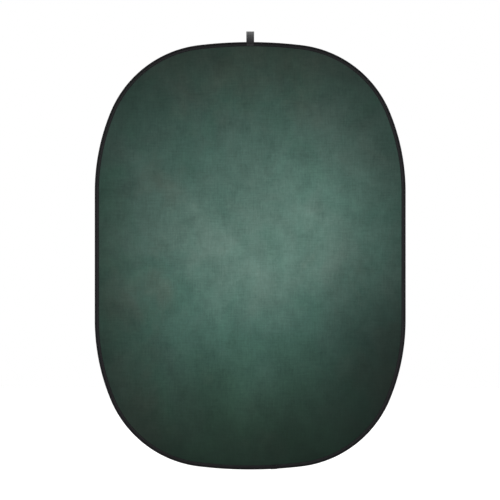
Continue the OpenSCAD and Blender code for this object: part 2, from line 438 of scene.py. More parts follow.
    def make(self) -> bpy.types.Material:
        """Mix the finish.

        Returns:
            The material.
        """
        graph = Graph("painted_cloth")
        place = graph.flat_place()
        x, z = graph.axes(place)
        clouds, daubs = self.clouds.on(graph, place), self.daubs.on(graph, place)
        sponging, grain = self.sponging.on(graph, place), self.grain.on(graph, place)
        slubs = self.weave.slubs(graph, place)
        texture = clouds * 0.22 + daubs * 0.25 + sponging * 0.21 + slubs * 0.19 + grain * 0.15
        light = total(pool.on(x, z) for pool in self.pools)
        tone = light * (texture + 1.0) * 0.70 + sponging * 0.007
        colour = graph.mixed(tone.clamped(), self.shade, self._paint(graph, place, sponging))
        height = self.weave.yarns(graph, x, z) * 0.25 + slubs * 0.22 + sponging * 0.1 + 0.5
        rough = sponging * 0.04 + self.roughness
        links = {"Base Color": colour, "Roughness": rough,
                 "Normal": graph.bumped(height, self.relief, 0.6)}
        return graph.finish({"Specular IOR Level": self.shine}, links)


@dataclass(frozen=True)
class PlainCloth:
    """Undyed-looking grey muslin, for the back.

    Attributes:
        dark: Its colour where the dye took most.
        pale: Its colour where the dye took least.
        cast: How the dye is spread.
        weave: The cloth's weave.
        roughness: Its roughness.
        relief: Height of its bumps, in metres.
        shine: Strength of its reflections.
    """

    dark: Colour = (0.118, 0.115, 0.108)
    pale: Colour = (0.204, 0.198, 0.185)
    cast: Mottle = Mottle((0.5, 0.6), 4.0, 0.55, 0.4)
    weave: Weave = Weave()
    roughness: float = 0.9
    relief: float = 0.12 * MM
    shine: float = 0.15

    def make(self) -> bpy.types.Material:
        """Mix the finish.

        Returns:
            The material.
        """
        graph = Graph("plain_cloth")
        place = graph.flat_place()
        x, z = graph.axes(place)
        slubs = self.weave.slubs(graph, place)
        share = (self.cast.on(graph, place) * 0.55 + slubs * 0.22 + 0.5).clamped()
        height = self.weave.yarns(graph, x, z) * 0.25 + slubs * 0.25 + 0.5
        links = {"Base Color": graph.mixed(share, self.dark, self.pale),
                 "Roughness": slubs * 0.03 + self.roughness,
                 "Normal": graph.bumped(height, self.relief, 0.6)}
        return graph.finish({"Specular IOR Level": self.shine}, links)


@dataclass(frozen=True)
class BindingTape:
    """Black polyester tape with fine ribs across it, worn on its corners, with a painted highlight
    along the raised strip between the seams, and lighter on its left and right sides.

    Attributes:
        rim: Length round the rim, in metres.
        black: Its colour.
        rubbed_and_highlit: Its colour on worn corners, and of the painted highlight on the raised
            strip.
        rib: Distance from one rib to the next, in metres.
        corner: Distance from the tape's middle to the rim's corner, in metres.
        ridge: Distance from the tape's middle to the raised strip between the seams, in metres.
        edge: Distance from the tape's middle to its selvedge, in metres.
        corner_rub: Distances from the corner at which the rub is full and gone, in metres.
        ridge_highlight: The same for the painted highlight on the raised strip.
        selvedge: Width of the selvedge, in metres.
        yarn: Unevenness of its yarns.
        dust: How it is soiled and worn in places.
        roughness: Its roughness.
        relief: Height of its bumps, in metres.
        shine: Strength of its reflections.
    """

    rim: float
    black: Colour = (0.0030, 0.0030, 0.0034)
    rubbed_and_highlit: Colour = (0.022, 0.022, 0.024)
    rib: float = 1.3 * MM
    corner: float = 5.7 * MM
    ridge: float = 20.5 * MM
    edge: float = 27.0 * MM
    corner_rub: tuple[float, float] = (0.3 * MM, 2.2 * MM)
    ridge_highlight: tuple[float, float] = (0.6 * MM, 3.2 * MM)
    selvedge: float = 0.8 * MM
    yarn: Mottle = Mottle((0.5 * MM, 3.0 * MM), 2.0, 0.6)
    dust: Mottle = Mottle((0.13, 0.011), 4.0, 0.62, 0.4)
    roughness: float = 0.78
    relief: float = 0.16 * MM
    shine: float = 0.09

    def make(self) -> bpy.types.Material:
        """Mix the finish.

        Returns:
            The material.
        """
        graph = Graph("binding_tape")
        place = graph.flat_place()
        along, across = graph.axes(place)
        aside = abs(across)
        ribs = graph.wave(along, self.rib)
        yarn, dust = self.yarn.on(graph, place), self.dust.on(graph, place)
        corner_rub = aside.near(self.corner, *self.corner_rub)
        # Painted highlight: a lighter line along the raised strip between the seams.
        ridge_highlight = aside.near(self.ridge, *self.ridge_highlight)
        selvedge = aside.ramped(self.edge - self.selvedge, self.edge)
        # Lighter on the left and right sides of the rim, darker at the top and bottom.
        lighter_at_sides = graph.wave(along - self.rim / 8, self.rim / 2)
        # Real wear on the corners and soil, plus the painted highlight on the raised strip.
        wear_and_highlight = (corner_rub * 0.55 + ridge_highlight * 0.55) * (dust * 0.55 + 0.5) + dust * 0.14
        share = wear_and_highlight + selvedge * 0.05 + ribs * 0.07 + yarn * 0.1 + lighter_at_sides * 0.10 + 0.19
        height = ribs * 0.34 + yarn * 0.2 + 0.5
        links = {"Base Color": graph.mixed(share.clamped(), self.black, self.rubbed_and_highlit),
                 "Roughness": dust * 0.05 - corner_rub * 0.06 + self.roughness,
                 "Normal": graph.bumped(height, self.relief, 0.7)}
        return graph.finish({"Specular IOR Level": self.shine}, links)


@dataclass(frozen=True)
class Webbing:
    """Black webbing of herringbone columns, greyed on its high yarns, worn at the eye with a painted
    highlight towards its top, and darkened by painted shade on its legs.

    Attributes:
        dark: Colour between the yarns.
        worn: Colour on the high yarns.
        broken_ends_and_highlight: Colour of the broken yarn ends on the eye, and of the painted
            highlight towards the eye's top.
        column: Width of one herringbone column, in metres.
        rib: Width of the fine ribs along it, in metres.
        pick: Distance from one crossing yarn to the next, in metres.
        sway: How far a herringbone column's middle runs ahead of its edges, in metres.
        selvedge: Distances from the webbing's middle where its selvedge begins and is full.
        leg_shade: Distances from the eye's top where the painted shade on the legs begins, and where
            it is full.
        yarn: Unevenness of its yarns.
        dust: How it is soiled and worn in places.
        roughness: Its roughness.
        relief: Height of its bumps, in metres.
        shine: Strength of its reflections.
    """

    dark: Colour = (0.0045, 0.0045, 0.0050)
    worn: Colour = (0.042, 0.042, 0.045)
    broken_ends_and_highlight: Colour = (0.150, 0.150, 0.152)
    column: float = 9.5 * MM
    rib: float = 1.9 * MM
    pick: float = 1.5 * MM
    sway: float = 1.4 * MM
    selvedge: tuple[float, float] = (16.8 * MM, 17.8 * MM)
    leg_shade: tuple[float, float] = (54 * MM, 66 * MM)
    yarn: Mottle = Mottle((0.9 * MM, 0.45 * MM), 2.0, 0.6)
    dust: Mottle = Mottle((7 * MM, 12 * MM), 3.0, 0.6)
    roughness: float = 0.74
    relief: float = 0.3 * MM
    shine: float = 0.2

    def make(self) -> bpy.types.Material:
        """Mix the finish.

        Returns:
            The material.
        """
        graph = Graph("webbing")
        place = graph.flat_place()
        across, along = graph.axes(place)
        columns = graph.wave(across - self.column / 4, self.column)
        ribs = graph.wave(across, self.rib)
        slant = graph.wave(along + columns * self.sway, self.pick)
        yarn, dust = self.yarn.on(graph, place), self.dust.on(graph, place)
        selvedge = abs(across).ramped(*self.selvedge)
        # Painted shade: darkens the legs, from the first of these distances from the eye's top.
        leg_shade = abs(along).ramped(*self.leg_shade)
        share = columns * 0.20 + ribs * 0.06 + slant * 0.14 + yarn * 0.14 + dust * 0.26 + 0.40
        share = (share - selvedge * 0.2) * (1.0 - leg_shade * 0.72)
        # Painted highlight: lighter towards the eye's top, mixed with real fraying of the yarn ends
        # there.
        by_the_eye = 1.0 - abs(along).ramped(0.0, self.leg_shade[0])
        eye_fray_and_highlight = by_the_eye * (share * 0.9 + dust * 0.2 + 0.3)
        height = columns * 0.10 + ribs * 0.12 + slant * 0.20 + yarn * 0.10 + 0.5
        colour = graph.mixed(share.clamped(), self.dark, self.worn)
        links = {"Base Color": graph.mixed(eye_fray_and_highlight.clamped(), colour, self.broken_ends_and_highlight),
                 "Roughness": dust * 0.05 + self.roughness,
                 "Normal": graph.bumped(height, self.relief, 0.8)}
        return graph.finish({"Specular IOR Level": self.shine}, links)


@dataclass(frozen=True)
class Thread:
    """Twisted black polyester sewing thread, fine on the binding and heavier on the webbing.

    Attributes:
        name: The material's name.
        dark: Colour between its strands.
        lit: Colour on its strands.
        twist: Distance from one strand to the next, in metres.
        lean: How far the strands lean for each metre across.
        batch: How the dye varies from stitch to stitch.
        roughness: Its roughness.
        relief: Height of its bumps, in metres.
        shine: Strength of its reflections.
    """

    name: str = "thread"
    dark: Colour = (0.009, 0.009, 0.010)
    lit: Colour = (0.036, 0.036, 0.039)
    twist: float = 0.6 * MM
    lean: float = 0.8
    batch: Mottle = Mottle((12 * MM, 4 * MM), 3.0, 0.6)
    roughness: float = 0.5
    relief: float = 0.08 * MM
    shine: float = 0.35

    def make(self) -> bpy.types.Material:
        """Mix the finish.

        Returns:
            The material.
        """
        graph = Graph(self.name)
        place = graph.flat_place()
        along, across = graph.axes(place)
        twist = graph.wave(along + across * self.lean, self.twist)
        batch = self.batch.on(graph, place)
        share = (twist * 0.18 + batch * 0.4 + 0.42).clamped()
        links = {"Base Color": graph.mixed(share, self.dark, self.lit),
                 "Roughness": batch * 0.06 + self.roughness,
                 "Normal": graph.bumped(twist * 0.5 + 0.5, self.relief, 0.8)}
        return graph.finish({"Specular IOR Level": self.shine}, links)


@dataclass(frozen=True)
class SpringSteel:
    """Blued spring steel strip, with drawing marks along it.

    Attributes:
        blue: Its colour where it is blued.
        bright: Its colour where the bluing has worn off.
        lines: Its drawing marks.
        heat: How the bluing varies.
        roughness: Its roughness.
        relief: Height of its bumps, in metres.
    """

    blue: Colour = (0.10, 0.115, 0.14)
    bright: Colour = (0.42, 0.43, 0.45)
    lines: Mottle = Mottle((0.4, 0.5 * MM), 3.0, 0.6)
    heat: Mottle = Mottle((0.25, 0.02), 3.0, 0.5, 0.5)
    roughness: float = 0.34
    relief: float = 0.02 * MM

    def make(self) -> bpy.types.Material:
        """Mix the finish.

        Returns:
            The material.
        """
        graph = Graph("spring_steel")
        place = graph.flat_place()
        lines = self.lines.on(graph, place)
        share = (lines * 0.25 + self.heat.on(graph, place) * 0.4 + 0.4).clamped()
        links = {"Base Color": graph.mixed(share, self.blue, self.bright),
                 "Roughness": lines * 0.08 + self.roughness,
                 "Normal": graph.bumped(lines * 0.5 + 0.5, self.relief, 0.6)}
        return graph.finish({"Metallic": 1.0}, links)


@dataclass(frozen=True)
class SleeveSteel:
    """Nickel-plated mild steel of the splice, a little tarnished.

    Attributes:
        dull: Its colour where it is tarnished.
        clean: Its colour where it is clean.
        tarnish: How the tarnish is spread.
        marks: Its drawing marks, along X.
        roughness: Its roughness.
        relief: Height of its bumps, in metres.
    """

    dull: Colour = (0.33, 0.32, 0.30)
    clean: Colour = (0.62, 0.61, 0.58)
    tarnish: Mottle = Mottle((9 * MM, 9 * MM, 9 * MM), 5.0, 0.6, 0.5)
    marks: Mottle = Mottle((12 * MM, 0.4 * MM, 0.4 * MM), 2.0, 0.6)
    roughness: float = 0.3
    relief: float = 0.02 * MM

    def make(self) -> bpy.types.Material:
        """Mix the finish.

        Returns:
            The material.
        """
        graph = Graph("sleeve_steel")
        place = graph.solid_place()
        tarnish, marks = self.tarnish.on(graph, place), self.marks.on(graph, place)
        share = (tarnish * 0.6 + marks * 0.15 + 0.55).clamped()
        links = {"Base Color": graph.mixed(share, self.dull, self.clean),
                 "Roughness": tarnish * 0.1 + marks * 0.04 + self.roughness,
                 "Normal": graph.bumped(marks * 0.5 + 0.5, self.relief, 0.5)}
        return graph.finish({"Metallic": 1.0}, links)


@dataclass(frozen=True)
class ShrinkWrap:
    """Black shrink tube, satin, with faint draw lines.

    Attributes:
        black: Its colour.
        scuffed: Its colour where it is scuffed.
        draw: Its draw lines, along X.
        scuff: Where it is scuffed.
        roughness: Its roughness.
        relief: Height of its bumps, in metres.
        shine: Strength of its reflections.
    """

    black: Colour = (0.010, 0.010, 0.011)
    scuffed: Colour = (0.034, 0.034, 0.036)
    draw: Mottle = Mottle((22 * MM, 0.9 * MM, 0.9 * MM), 3.0, 0.55)
    scuff: Mottle = Mottle((5 * MM, 3 * MM, 3 * MM), 4.0, 0.65, 0.3)
    roughness: float = 0.42
    relief: float = 0.06 * MM
    shine: float = 0.5

    def make(self) -> bpy.types.Material:
        """Mix the finish.

        Returns:
            The material.
        """
        graph = Graph("shrink_wrap")
        place = graph.solid_place()
        draw, scuff = self.draw.on(graph, place), self.scuff.on(graph, place)
        share = (scuff * 0.5 + draw * 0.15 + 0.35).clamped()
        links = {"Base Color": graph.mixed(share, self.black, self.scuffed),
                 "Roughness": scuff * 0.12 + self.roughness,
                 "Normal": graph.bumped(draw * 0.5 + 0.5, self.relief, 0.6)}
        return graph.finish({"Specular IOR Level": self.shine}, links)


@dataclass(frozen=True)
class StudioFloor:
    """Matt white studio floor, faintly uneven.

    Attributes:
        white: Its colour.
        worn: Its colour where it is walked on.
        scuffs: Where it is walked on.
        roughness: Its roughness.
        shine: Strength of its reflections.
    """

    white: Colour = (0.90, 0.90, 0.90)
    worn: Colour = (0.86, 0.86, 0.855)
    scuffs: Mottle = Mottle((1.1, 1.1), 4.0, 0.6)
    roughness: float = 0.85
    shine: float = 0.1

    def make(self) -> bpy.types.Material:
        """Mix the finish.

        Returns:
            The material.
        """
        graph = Graph("studio_floor")
        place = graph.solid_place()
        scuffs = self.scuffs.on(graph, place)
        links = {"Base Color": graph.mixed((scuffs * 0.5 + 0.5).clamped(), self.white, self.worn),
                 "Roughness": scuffs * 0.05 + self.roughness}
        return graph.finish({"Specular IOR Level": self.shine}, links)


# ---------------------------------------------------------------------------------------------------
# The rim's outline and section


@dataclass(frozen=True)
class Stretch:
    """One arc or straight side of the rim, going round it as the printed side sees it.

    Attributes:
        start: Length along the rim where it begins, in metres.
        length: Its own length, in metres.
        centre: The arc's centre, or where a straight side begins, as (x, z).
        radius: The arc's radius, or 0 for a straight side.
        facing: Angle of the outward direction where it begins, in radians.
    """

    start: float
    length: float
    centre: Vector
    radius: float
    facing: float

    def outward(self, along: float) -> Vector:
        """Return the outward direction at a length from the stretch's own start, as (x, z)."""
        angle = self.facing + (along / self.radius if self.radius else 0.0)
        return Vector((math.cos(angle), math.sin(angle)))

    def point(self, along: float) -> Vector:
        """Find a point of the rim.

        Args:
            along: Length from the stretch's own start.

        Returns:
            The point, as (x, z).
        """
        out = self.outward(along)
        if self.radius:
            return self.centre + out * self.radius
        return self.centre + Vector((-out.y, out.x)) * along

    def measure(self, x: np.ndarray, z: np.ndarray) -> tuple[np.ndarray, np.ndarray]:
        """Find points against this stretch.

        Args:
            x: Their places across the panel.
            z: Their heights.

        Returns:
            Their lengths along the stretch, and their depths inside the rim, infinite beside it.
        """
        slack = 10 * HAIR
        right, up = x - self.centre.x, z - self.centre.y
        cos, sin = math.cos(self.facing), math.sin(self.facing)
        if self.radius:
            angle = np.arctan2(up * cos - right * sin, right * cos + up * sin)
            along, depth = angle * self.radius, self.radius - np.hypot(right, up)
        else:
            along, depth = up * cos - right * sin, -(right * cos + up * sin)
        beside = (along < -slack) | (along > self.length + slack)
        return along, np.where(beside, np.inf, depth)


@dataclass
class Outline:
    """The rim's outer edge: straight sides, side arcs, shoulder arcs and shallow crowns.

    Attributes:
        straight: Length of each straight side, in metres.
        crown_radius: Radius across the top and the bottom, in metres.
        crown_angle: Half of the crown's angle, in degrees.
        shoulder_angle: Angle from vertical where shoulder meets side, in degrees.
        centre: The panel's middle.
        half_width: Half of its width over the rim, in metres.
        half_height: Half of its height over the rim, in metres.
        stretches: The rim's stretches, from the middle of the bottom to the right and round.
        perimeter: Length of the rim, in metres.
    """

    straight: float = 0.626
    crown_radius: float = 2.1
    crown_angle: float = 6.9
    shoulder_angle: float = 67.5
    centre: Vector = field(init=False)
    half_width: float = field(init=False)
    half_height: float = field(init=False)
    stretches: list[Stretch] = field(init=False)
    perimeter: float = field(init=False)

    def __post_init__(self) -> None:
        """Take the overall sizes from the binding, and lay the stretches end to end."""
        low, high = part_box("binding_lower")[0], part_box("binding_upper")[1]
        self.centre = (low + high) / 2
        self.half_width = (high.x - low.x) / 2
        self.half_height = (high.z - low.z) / 2
        crown, shoulder = math.radians(self.crown_angle), math.radians(self.shoulder_angle)
        reach_x = self.half_width - self.crown_radius * math.sin(crown)
        reach_z = (self.half_height - self.straight / 2
                   - self.crown_radius * (1 - math.cos(crown)))
        # The other two radii follow from where their arcs have to meet the crown and the side.
        spread = math.sin(shoulder - crown) - math.cos(crown) + math.cos(shoulder)
        shoulder_radius = (reach_x * math.cos(shoulder)
                           - reach_z * (1 - math.sin(shoulder))) / spread
        side_radius = (reach_z * (math.sin(shoulder) - math.sin(crown))
                       - reach_x * (math.cos(crown) - math.cos(shoulder))) / spread
        corner = [(shoulder_radius, shoulder - crown), (side_radius, math.pi / 2 - shoulder)]
        half_round = [(self.crown_radius, crown), *corner, (0.0, self.straight), *corner[::-1],
                      (self.crown_radius, crown)]
        self.stretches = []
        place = Vector((self.centre.x, self.centre.z - self.half_height))
        start, facing = 0.0, -math.pi / 2
        for radius, span in half_round * 2:
            length = span * radius if radius else span
            out = Vector((math.cos(facing), math.sin(facing)))
            centre = place - out * radius
            self.stretches.append(Stretch(start, length, centre, radius, facing))
            place = self.stretches[-1].point(length)
            start += length
            facing += span if radius else 0.0
        self.perimeter = start

    def stand(self, along: float) -> Matrix:
        """Return the transform that puts a section on the rim.

        Args:
            along: Length along the rim from the middle of the bottom.

        Returns:
            A matrix from (outwards, towards the back, along the rim) to the panel.
        """
        along %= self.perimeter
        stretch = [s for s in self.stretches if s.start <= along + HAIR][-1]
        point, out = stretch.point(along - stretch.start), stretch.outward(along - stretch.start)
        columns = Matrix(((out.x, 0, out.y), (0, 1, 0), (-out.y, 0, out.x))).transposed()
        return Matrix.Translation((point.x, 0, point.y)) @ columns.to_4x4()

    def carry(self, bm: bmesh.types.BMesh, geom: list, begin: float, end: float,
              spacing: float, copies: bool = False) -> None:
        """Sweep or copy geometry along the rim.

        Args:
            bm: The mesh.
            geom: What is carried, already standing on the rim at begin.
            begin: Length along the rim where it starts.
            end: Length where it ends, which may pass the whole way round.
            spacing: Distance between rings or copies.
            copies: Whether copies are left, and not a swept surface.
        """
        for turn in (0.0, self.perimeter):
            for stretch in self.stretches:
                low = max(begin, stretch.start + turn)
                high = min(end, stretch.start + turn + stretch.length)
                if high - low < HAIR:
                    continue
                steps = max(1, round((high - low) / spacing))
                out = stretch.outward(0.0)
                step = Vector((-out.y, 0, out.x)) * ((high - low) / steps)
                swept = (high - low) / stretch.radius if stretch.radius else 0.0
                geom = bmesh.ops.spin(
                    bm, geom=geom, cent=(stretch.centre.x, 0, stretch.centre.y),
                    axis=(0, -1, 0), dvec=(0, 0, 0) if stretch.radius else step,
                    angle=swept, steps=steps, use_duplicate=copies)["geom_last"]

    def locate(self, x: np.ndarray, z: np.ndarray) -> tuple[np.ndarray, np.ndarray]:
        """Find points against the whole rim.

        Args:
            x: Their places across the panel.
            z: Their heights.

        Returns:
            Their lengths along the rim, and their depths inside it.
        """
        best, length = np.full(len(x), np.inf), np.zeros(len(x))
        for stretch in self.stretches:
            along, depth = stretch.measure(x, z)
            nearer = depth < best
            best = np.where(nearer, depth, best)
            length = np.where(nearer, along + stretch.start, length)
        return length, best


@dataclass(frozen=True)
class RimSection:
    """The folded tape's section: a channel round the band, a taper and a flat flap on each side.

    Attributes:
        tape_width: Width of tape that shows on each face.
        tape: Thickness of the tape.
        cloth_half: Half of the thickness that the flaps close on.
        channel_half: Half of the channel's inner width.
        channel_depth: Depth of the channel's inner corner.
        flat_depth: Depth where the flat flap begins.
    """

    tape_width: float = 20 * MM
    tape: float = 0.8 * MM
    cloth_half: float = 0.6 * MM
    channel_half: float = 4.9 * MM
    channel_depth: float = 3.8 * MM
    flat_depth: float = 9.8 * MM

    def face(self, lift: float) -> list[Vector]:
        """Draw the back half of the fold.

        Args:
            lift: Distance off the tape's inner face.

        Returns:
            The corners of its line, from the flap's free edge out to the rim.
        """
        slope = math.atan2(self.channel_half - self.cloth_half,
                           self.flat_depth - self.channel_depth)
        shift = lift * math.tan(slope / 2)
        return [Vector((-self.tape_width, self.cloth_half + lift, 0)),
                Vector((-self.flat_depth - shift, self.cloth_half + lift, 0)),
                Vector((-self.channel_depth - shift, self.channel_half + lift, 0)),
                Vector((lift - self.tape, self.channel_half + lift, 0))]

    def fold(self, lift: float) -> list[Vector]:
        """Return the whole fold's line at that lift, from the front flap's free edge to the back's."""
        back = self.face(lift)
        return [Vector((p.x, -p.y, 0)) for p in back] + back[::-1]


@dataclass(frozen=True)
class Slack:
    """How the sewn cloth stands off its flat plane: a long easy wave, and puckers near the seam.

    Attributes:
        swell: Height of the long wave, in metres.
        swells: Each wave's (length across, length up, shift) in metres and radians.
        pucker: Height of the puckers, in metres.
        puckers: Each pucker's (count round the rim, share, shift in radians).
        sewn: Depth up to which the tape holds everything flat.
        loose: Depth at which the puckers are full.
        reach: Depth over which they fade.
        swell_reach: Depth over which the long wave comes up from the seam.
    """

    swell: float = 1.3 * MM
    swells: tuple[tuple[float, float, float], ...] = (
        (0.93, 1.71, 0.4), (-0.61, 1.12, 2.1), (0.47, -0.83, 4.4))
    pucker: float = 0.6 * MM
    puckers: tuple[tuple[int, float, float], ...] = (
        (109, 0.42, 0.3), (73, 0.36, 1.9), (47, 0.30, 4.0))
    sewn: float = 10 * MM
    loose: float = 28 * MM
    reach: float = 75 * MM
    swell_reach: float = 200 * MM

    def stand_off(self, outline: Outline, x: np.ndarray, z: np.ndarray) -> np.ndarray:
        """Work out how far the sewn cloth stands off its flat plane.

        Args:
            outline: The rim's outline.
            x: Points' places across the panel.
            z: Their heights.

        Returns:
            How far towards the back each point stands.
        """
        length, depth = outline.locate(x, z)
        turn = length / outline.perimeter * 2 * math.pi
        fine = sum(share * np.sin(count * turn + shift) for count, share, shift in self.puckers)
        uneven = 0.6 + 0.4 * np.sin(5 * turn + 1.0) * np.sin(11 * turn)  # puckers come and go
        rise = np.clip((depth - self.sewn) / (self.loose - self.sewn), 0, 1)
        fade = np.exp(-np.maximum(depth - self.loose, 0) / self.reach)
        right, up = x - outline.centre.x, z - outline.centre.z
        wave = sum(np.sin(2 * math.pi * (right / across + up / tall) + shift)
                   for across, tall, shift in self.swells) / len(self.swells)
        free = np.clip((depth - self.sewn) / self.swell_reach, 0, 1)
        eased = free * free * (3 - 2 * free)
        return self.pucker * rise * fade * fine * uneven + self.swell * eased * wave


# ---------------------------------------------------------------------------------------------------
# Making pieces


class Side(Enum):
    """The two faces of the panel, by the sign of their Y."""

    PRINTED = -1
    BACK = 1

    @property
    def out(self) -> Vector:
        """Direction off this face."""
        return Vector((0, self.value, 0))


def put_in_scene(name: str, data: bpy.types.ID) -> bpy.types.Object:
    """Make an object and put it in the scene.

    Args:
        name: Its name.
        data: Its mesh, lamp or camera.

    Returns:
        The object, at the origin.
    """
    made = bpy.data.objects.new(name, data)
    bpy.context.scene.collection.objects.link(made)
    return made


class Piece:
    """One new mesh, from its first points to a finished object."""

    def __init__(self, name: str) -> None:
        """Start an empty mesh.

        Args:
            name: The object's name.
        """
        self.name = name
        self.bm = bmesh.new()
        self.across = self.bm.verts.layers.float.new("across")
        self.object: Optional[bpy.types.Object] = None

    def wire(self, points: Iterable[Vector], rounding: float = 0.0, segments: int = 3,
             closed: bool = False) -> list[bmesh.types.BMVert]:
        """Draw a line with rounded corners.

        Args:
            points: Its corners.
            rounding: Length cut from each side of a corner.
            segments: Pieces in each rounded corner.
            closed: Whether the line ends where it starts.

        Returns:
            Its points in order.
        """
        verts = [self.bm.verts.new(p) for p in points]
        for pair in zip(verts, verts[1:] + verts[:1] if closed else verts[1:]):
            self.bm.edges.new(pair)
        if rounding:
            inner = verts if closed else verts[1:-1]
            bmesh.ops.bevel(self.bm, geom=inner, offset=rounding, offset_type="OFFSET",
                            segments=segments, profile=0.5, affect="VERTICES", material=-1)
        return self.measure()

    def measure(self) -> list[bmesh.types.BMVert]:
        """Note on each point of the one wire its distance from the wire's middle.

        Returns:
            The wire's points in order.
        """
        line = [next((v for v in self.bm.verts if len(v.link_edges) == 1), self.bm.verts[:][0])]
        while True:
            onward = [e.other_vert(line[-1]) for e in line[-1].link_edges]
            onward = [v for v in onward if v not in line[-2:] and v is not line[0]]
            if not onward:
                break
            line.append(onward[0])
        run = [0.0]
        for a, b in zip(line, line[1:]):
            run.append(run[-1] + (b.co - a.co).length)
        for vert, length in zip(line, run):
            vert[self.across] = length - run[-1] / 2
        return line

    def everything(self) -> list:
        """Return all of the mesh's points, edges and faces."""
        return self.bm.verts[:] + self.bm.edges[:] + self.bm.faces[:]

    def merge(self, distance: float = 0.02 * MM) -> None:
        """Join points that lie on each other."""
        bmesh.ops.remove_doubles(self.bm, verts=self.bm.verts[:], dist=distance)

    def place(self, matrix: Matrix) -> None:
        """Move every point by a matrix."""
        bmesh.ops.transform(self.bm, matrix=matrix, verts=self.bm.verts[:])

    def face_outwards(self, towards: Optional[Vector] = None) -> None:
        """Turn every face the same way round, outwards on a closed shell.

        Args:
            towards: On an open sheet, the direction in which its furthest face has to look.
        """
        bmesh.ops.recalc_face_normals(self.bm, faces=self.bm.faces[:])
        if towards:
            furthest = max(self.bm.faces, key=lambda f: f.calc_center_median().dot(towards))
            if furthest.normal.dot(towards) < 0:
                bmesh.ops.reverse_faces(self.bm, faces=self.bm.faces[:])

    def places(self) -> tuple[np.ndarray, np.ndarray]:
        """Return every point's x and z."""
        co = np.array([v.co for v in self.bm.verts])
        return co[:, 0], co[:, 2]

    def lay_flat(self, flat: Callable[[bmesh.types.BMVert], tuple[float, float]],
                 round_trip: float = 0.0) -> None:
        """Give the piece its UV map, in metres.

        Args:
            flat: Each point's place on the flat piece.
            round_trip: Length of a piece that closes on itself, or 0.
        """
        layer = self.bm.loops.layers.uv.new("flat")
        for f in self.bm.faces:
            spots = [flat(loop.vert) for loop in f.loops]
            ends = [spot[0] for spot in spots]
            wraps = round_trip and max(ends) - min(ends) > round_trip / 2
            for loop, (u, v) in zip(f.loops, spots):
                loop[layer].uv = (u + round_trip if wraps and u < round_trip / 2 else u, v)

    def lay_along(self, outline: Outline) -> None:
        """Give the piece a UV map of length along the rim and distance across its section.

        Args:
            outline: The rim's outline.
        """
        length, _ = outline.locate(*self.places())
        self.bm.verts.index_update()
        self.lay_flat(lambda v: (length[v.index], v[self.across]), outline.perimeter)

    def slacken(self, outline: Outline, slack: Slack) -> None:
        """Let the piece stand off with the cloth that it is sewn to.

        Args:
            outline: The rim's outline.
            slack: How the cloth stands off.
        """
        off = slack.stand_off(outline, *self.places())
        for vert, distance in zip(self.bm.verts, off):
            vert.co.y += distance

    def to_object(self, material: bpy.types.Material) -> None:
        """Turn the mesh into an object.

        Args:
            material: Its finish.
        """
        mesh = bpy.data.meshes.new(self.name)
        self.bm.to_mesh(mesh)
        self.bm.free()
        mesh.materials.append(material)
        self.object = put_in_scene(self.name, mesh)

    def finish(self, material: bpy.types.Material, slot: str, sharp: float = 35.0) -> None:
        """Turn the mesh into an object with smooth faces.

        Args:
            material: Its finish.
            slot: Not used.
            sharp: Angle in degrees over which an edge stays sharp.
        """
        self.to_object(material)
        self.object.data.shade_smooth()
        self.object.data.set_sharp_from_angle(angle=math.radians(sharp))

    def thicken(self, thickness: float) -> None:
        """Give a one-sided piece its thickness, inwards from its faces.

        Args:
            thickness: The thickness, in metres.
        """
        solid = self.object.modifiers.new("thickness", "SOLIDIFY")
        solid.thickness = thickness
        solid.offset = -1.0
        solid.use_even_offset = True

    def report(self, doing: str) -> None:
        """Log the finished piece."""
        log.info("%s: %d faces, %s", self.name, len(self.object.data.polygons), doing)


@dataclass(frozen=True)
class Stitch:
    """One stitch of a lockstitched row, a flattened bead of thread.

    Attributes:
        pitch: Distance from one stitch to the next.
        length: Length of thread that shows.
        width: Width of the thread.
        height: How far it stands off what it is sewn through.
        sides: Faces round the bead.
        rows: Rows of faces along it.
    """

    pitch: float = 4.0 * MM
    length: float = 3.5 * MM
    width: float = 0.7 * MM
    height: float = 0.25 * MM
    sides: int = 6
    rows: int = 3

    def bead(self, piece: Piece, matrix: Matrix) -> list:
        """Add one stitch.

        Args:
            piece: The piece that it is added to.
            matrix: From (along the stitch, across it, off the cloth) to the piece.

        Returns:
            Its points, edges and faces.
        """
        size = Matrix.Diagonal((self.length / 2, self.width / 2, self.height, 1))
        poles_along = Matrix.Rotation(math.pi / 2, 4, "Y")
        verts = bmesh.ops.create_uvsphere(piece.bm, u_segments=self.sides, v_segments=self.rows,
                                          radius=1, matrix=matrix @ size @ poles_along)["verts"]
        faces = {f for v in verts for f in v.link_faces}
        edges = {e for f in faces for e in f.edges}
        return [*verts, *edges, *faces]

    def sew(self, piece: Piece, start: Vector, end: Vector, off: Vector) -> None:
        """Sew a straight row.

        Args:
            piece: The piece that it is added to.
            start: Where the row starts, on the cloth.
            end: Where it ends.
            off: Direction off the cloth.
        """
        run = end - start
        along = run.normalized()
        count = max(1, round(run.length / self.pitch))
        step = run / count
        across = off.cross(along)
        turn = Matrix((along, across, off)).transposed().to_4x4()
        first = self.bead(piece, Matrix.Translation(start + step / 2) @ turn)
        if count > 1:
            bmesh.ops.spin(piece.bm, geom=first, cent=(0, 0, 0), axis=(0, 1, 0), dvec=step,
                           angle=0, steps=count - 1, use_duplicate=True)

    def box(self, piece: Piece, corners: Sequence[Vector], off: Vector) -> None:
        """Sew a box, crossed corner to corner.

        Args:
            piece: The piece that it is added to.
            corners: Its four corners in order, on the cloth.
            off: Direction off the cloth.
        """
        for i in range(4):
            self.sew(piece, corners[i], corners[(i + 1) % 4], off)
        for i in range(2):
            self.sew(piece, corners[i], corners[i + 2], off)


# ---------------------------------------------------------------------------------------------------
# Sub-assemblies


